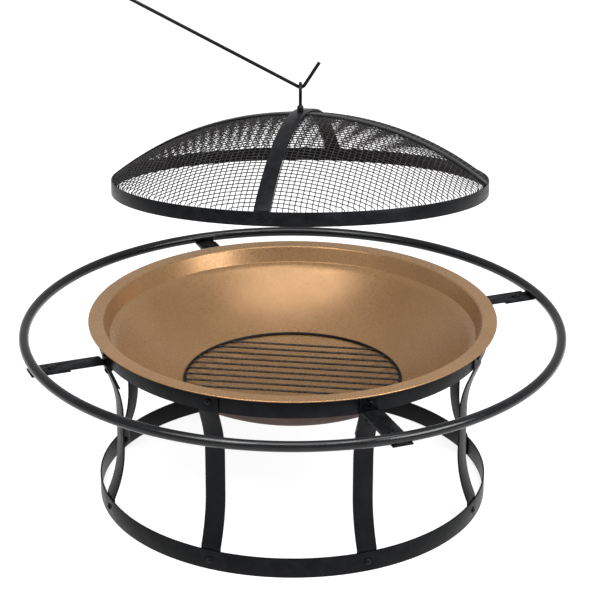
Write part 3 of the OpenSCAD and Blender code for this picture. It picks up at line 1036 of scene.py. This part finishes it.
@dataclass
class Screen:
    """The woven dome, its band, straps and lifting eye, in the pose in which it hangs."""

    wardrobe: Wardrobe
    tilt: float = 9.7
    drop: float = 0.1885
    hoop_r: float = 0.3409
    hoop_t: float = 0.0025
    hoop_h: float = 0.0245
    dome_h: float = 0.145
    strap_azimuth: float = -11.0
    mesh_r: float = 0.3343
    mesh_top: float = 0.1384
    crown_h: float = 0.0255
    pitch: float = 0.0096
    wire_d: float = 0.0017
    lift: float = 0.00035

    @property
    def hung(self) -> Matrix:
        """The transform from the screen's own frame, at its band's lower edge, to its pose."""
        return (Matrix.Translation(HOOK) @ Matrix.Rotation(math.radians(-self.tilt), 4, "X")
                @ Matrix.Translation((0, 0, -self.drop)))

    @property
    def sphere(self) -> float:
        """The radius of the sphere that the mesh is pressed to."""
        rise = self.mesh_top - self.crown_h
        return (self.mesh_r ** 2 + rise ** 2) / (2 * rise)

    def dome(self) -> bpy.types.Object:
        """Turns the smooth dome that the wires are laid on.

        Returns:
            A helper surface, removed after use.
        """
        sphere = self.sphere
        reach = math.degrees(math.asin(min(1.0, (self.mesh_r + 0.012) / sphere)))
        profile = arc_points((0, self.mesh_top - sphere), sphere, 90 - reach, 90, 60)
        return lathe("dome_helper", profile, 160)

    def wires(self, name: str, turn: float, phase: int) -> bpy.types.Object:
        """Weaves one direction of the mesh.

        A grid is thinned to parallel rows, trimmed to the dome, laid on it, bent over and under
        at the crossings, turned down inside the band, and given its round section.

        Args:
            name: The piece's name.
            turn: The direction of the rows as an azimuth.
            phase: 0 or 1, which rows start over and which under.

        Returns:
            The wires of one direction.
        """
        reach = self.sphere * math.asin(self.mesh_r / self.sphere)
        rows = 2 * int(reach / self.pitch) + 2
        span = rows * self.pitch
        bpy.ops.object.select_all(action="DESELECT")
        bpy.ops.mesh.primitive_grid_add(x_subdivisions=2 * rows, y_subdivisions=rows - 1,
                                        size=2, location=(0, 0, 0))
        net = bpy.context.object
        net.name = net.data.name = name
        net.scale = (span / 2, (span - self.pitch) / 2, 1)
        bpy.ops.object.transform_apply(location=True, rotation=True, scale=True)
        with editing(net):
            bpy.ops.mesh.select_mode(type="EDGE")
            shape = bmesh.from_edit_mesh(net.data)
            for edge in shape.edges:
                edge.select_set(abs(edge.verts[0].co.x - edge.verts[1].co.x) < 1e-7)
            bmesh.update_edit_mesh(net.data)
            bpy.ops.mesh.delete(type="EDGE")
            bpy.ops.mesh.select_mode(type="VERT")
            bpy.ops.mesh.select_all(action="DESELECT")
            for vert in bmesh.from_edit_mesh(net.data).verts:
                vert.co.xy = [self.sphere * math.sin(along / self.sphere) for along in vert.co.xy]
            select_where(net, lambda co: co.xy.length > self.mesh_r - 0.0012)
            bpy.ops.mesh.delete(type="VERT")
        ends = net.vertex_groups.new(name="ends")
        counts = [0] * len(net.data.vertices)
        for edge in net.data.edges:
            for vert in edge.vertices:
                counts[vert] += 1
        ends.add([i for i, n in enumerate(counts) if n == 1], 1.0, "REPLACE")
        apply_modifier(net, "CAST", cast_type="CYLINDER", use_z=False, factor=1.0,
                       radius=0.0, size=self.mesh_r, use_radius_as_size=False,
                       vertex_group="ends")
        dome = self.dome()
        apply_modifier(net, "SHRINKWRAP", target=dome, wrap_method="PROJECT",
                       use_project_z=True, use_positive_direction=True,
                       use_negative_direction=True)
        bpy.data.objects.remove(dome)
        with editing(net):
            for side in (1, -1):
                bpy.ops.mesh.select_all(action="DESELECT")
                select_where(net, lambda co: self.weave_side(co, phase) == side)
                bpy.ops.transform.translate(value=(0, 0, side * self.lift))
            bpy.ops.mesh.select_all(action="DESELECT")
            select_where(net, lambda co: co.xy.length > self.mesh_r - 0.00005)
            bpy.ops.mesh.extrude_vertices_move(
                TRANSFORM_OT_translate={"value": (0, 0, -(self.crown_h - 0.005))})
        pick_only(net)
        bpy.ops.object.convert(target="CURVE")
        rows_curve = bpy.context.object
        rows_curve.data.bevel_depth = self.wire_d / 2
        rows_curve.data.bevel_resolution = 1
        bpy.ops.object.convert(target="MESH")
        woven = bpy.context.object
        woven.name = woven.data.name = name
        settle(woven, self.hung @ about_z(turn), 80)
        return woven

    def weave_side(self, place: Vector, phase: int) -> int:
        """Tells whether a row passes over or under at a crossing.

        Args:
            place: A vertex of a row, rows along X.
            phase: 0 or 1, the row direction.

        Returns:
            1 for over, -1 for under, 0 between crossings and on the turned-down ends.
        """
        if place.xy.length > self.mesh_r - 0.003:
            return 0
        across, row = (self.sphere * math.asin(part / self.sphere) / self.pitch - 0.5
                       for part in place.xy)
        if abs(across - round(across)) > 0.1:
            return 0
        over = (round(across) + round(row) + phase) % 2 == 0
        return 1 if over else -1

    def build(self) -> None:
        """Builds the woven mesh, rolls the edges of the metal strips and adds the welds."""
        warp = self.wires("screen_mesh_warp", self.strap_azimuth, 0)
        self.wardrobe.dress(warp, "mesh", "screen", "screen_mesh")
        weft = self.wires("screen_mesh_weft", self.strap_azimuth + 90, 1)
        self.wardrobe.dress(weft, "mesh", "screen")
        for node, width in (("screen_band", 0.0004), ("strap_lower", 0.0004),
                            ("strap_upper", 0.0004), ("eye_washer", 0.0003)):
            piece = softened(node, f"{node}_rolled", width)
            slot = "black_fasteners" if node == "eye_washer" else "powder_coat"
            self.wardrobe.dress(piece, slot, "screen", node)
        self.add_spot_welds()

    def add_spot_welds(self) -> None:
        """Presses a pair of shallow spot welds at each strap's end on the band."""
        pattern = lathe("spot", [(0.0, -0.0006), (0.0026, -0.0006), (0.0030, -0.0001),
                                 (0.0026, 0.00035), (0.0012, 0.0002), (0.0, 0.00015)], 20)
        outward = Matrix.Rotation(math.pi / 2, 4, "Y")
        copies = []
        for quarter in range(4):
            for side in (-1, 1):
                swing = math.degrees(side * 0.0065 / self.hoop_r)
                copies.append(copied(
                    pattern, self.hung @ about_z(self.strap_azimuth + 90 * quarter + swing)
                    @ Matrix.Translation((self.hoop_r, 0, self.hoop_h / 2)) @ outward))
        bpy.data.objects.remove(pattern)
        spots = joined(copies, "screen_spot_welds")
        settle(spots, angle=50)
        self.wardrobe.dress(spots, "powder_coat", "screen")


@dataclass
class Poker:
    """The weld that closes the poker's handle loop."""

    wardrobe: Wardrobe
    rise: float = 28.4
    bend_r: float = 0.009
    arm_l: float = 0.380
    rod_r: float = 0.0032

    def build(self) -> None:
        """Lays a small collar of weld where the rod runs into its loop."""
        lean = math.radians(self.rise)
        reach = self.arm_l - 0.0035
        place = Vector(HOOK) + Vector((
            -self.bend_r * math.sin(lean) - reach * math.cos(lean), 0,
            self.bend_r * (1 - math.cos(lean)) + reach * math.sin(lean)))
        profile = [(0.0, -0.004), (self.rod_r * 0.98, -0.0036), (self.rod_r * 1.14, -0.0015),
                   (self.rod_r * 1.3, 0.001), (self.rod_r * 1.2, 0.003), (0.0, 0.0038)]
        weld = lathe("poker_loop_weld", profile, 24)
        turn = Matrix.Rotation(-(math.pi / 2 - lean), 4, "Y")
        settle(weld, Matrix.Translation(place) @ turn, 60)
        self.wardrobe.dress(weld, "poker_steel", "poker")


# ---- Studio ------------------------------------------------------------------------------


@dataclass(frozen=True)
class SoftBox:
    """One rectangular studio light."""

    name: str
    place: tuple[float, float, float]
    aim: tuple[float, float, float]
    size: tuple[float, float]
    power: float

    def build(self) -> None:
        """Adds the light and turns it to its aim."""
        bpy.ops.object.select_all(action="DESELECT")
        bpy.ops.object.light_add(type="AREA", location=self.place)
        lamp = bpy.context.object
        lamp.name = self.name
        lamp.data.shape, lamp.data.size, lamp.data.size_y = "RECTANGLE", *self.size
        lamp.data.energy = self.power
        aim = Vector(self.aim) - Vector(self.place)
        lamp.rotation_euler = aim.to_track_quat("-Z", "Y").to_euler()


@dataclass
class Studio:
    """The floor, the soft lights, the pale surroundings and the camera."""

    floor_tone: float = 0.30
    floor_glow: float = 0.85
    surround: float = 1.0
    surround_strength: float = 0.6
    lens: float = 132.67
    sideways_shift: float = -0.0024
    camera_place: tuple[float, float, float] = (0.003, -3.8, 1.9738)
    camera_pitch: float = 67.26
    camera_roll: float = -0.14

    def build(self) -> None:
        """Builds the camera, the floor and the lights."""
        bpy.ops.object.camera_add(
            location=self.camera_place,
            rotation=(math.radians(self.camera_pitch), math.radians(self.camera_roll), 0))
        camera = bpy.context.object
        camera.data.lens, camera.data.sensor_width = self.lens, 36.0
        camera.data.shift_x = self.sideways_shift
        camera.data.clip_start, camera.data.clip_end = 0.05, 60
        bpy.context.scene.camera = camera
        self.add_floor()
        for box in (
                SoftBox("key", (-1.6, -1.9, 3.0), (0, 0, 0.35), (1.8, 1.4), 60),
                SoftBox("fill", (2.4, -1.6, 2.2), (0, 0, 0.35), (1.6, 1.6), 120),
                SoftBox("overhead", (0.1, -0.5, 3.2), (0, 0, 0.35), (2.6, 1.4), 66),
                SoftBox("strip", (-0.3, -1.3, 2.2), (0, 0, 0.35), (1.6, 0.12), 18),
                SoftBox("lamp_left", (-0.80, -1.3, 3.0), (0, 0.3, 0.3), (0.4, 0.4), 14),
                SoftBox("lamp_right", (0.80, -1.3, 3.0), (0, 0.3, 0.3), (0.4, 0.4), 16)):
            box.build()
        world = bpy.data.worlds.new("pale_room")
        world.use_nodes = True
        shade = next(n for n in world.node_tree.nodes if n.type == "BACKGROUND")
        shade.inputs["Color"].default_value = (self.surround,) * 3 + (1,)
        shade.inputs["Strength"].default_value = self.surround_strength
        bpy.context.scene.world = world
        bpy.context.scene.view_settings.view_transform = "Standard"

    def add_floor(self) -> None:
        """Adds a wide pale floor with a faint glow, as on a light table."""
        bpy.ops.object.select_all(action="DESELECT")
        bpy.ops.mesh.primitive_plane_add(size=24, location=(0, 0, -0.0006))
        floor = bpy.context.object
        floor.name = "studio_floor"
        mat = Nodes("studio_floor")
        tone, pale = self.floor_tone, self.floor_tone * 0.985
        mat.drive("Base Color", mat.ramp(mat.noise(1.5, 3), 0.3, 0.7, (pale,) * 3, (tone,) * 3))
        mat.drive("Roughness", mat.spread(mat.noise(3, 2), 0.75, 0.85))
        mat.set(Emission_Strength=self.floor_glow)
        mat.shader.inputs["Emission Color"].default_value = (1, 1, 1, 1)
        floor.data.materials.append(mat.material)


# ---- Assembly ----------------------------------------------------------------------------


def main() -> None:
    """Builds the studio, then each part of the fire pit in order."""
    logging.basicConfig(level=logging.INFO, format="%(name)s: %(message)s")
    Studio().build()
    wardrobe = Wardrobe()
    wardrobe.dress_frame()
    for part in (Stand(wardrobe), Bowl(wardrobe), Grate(wardrobe), Screen(wardrobe),
                 Poker(wardrobe)):
        log.info("building %s", type(part).__name__)
        part.build()


if __name__ == "__main__":
    main()
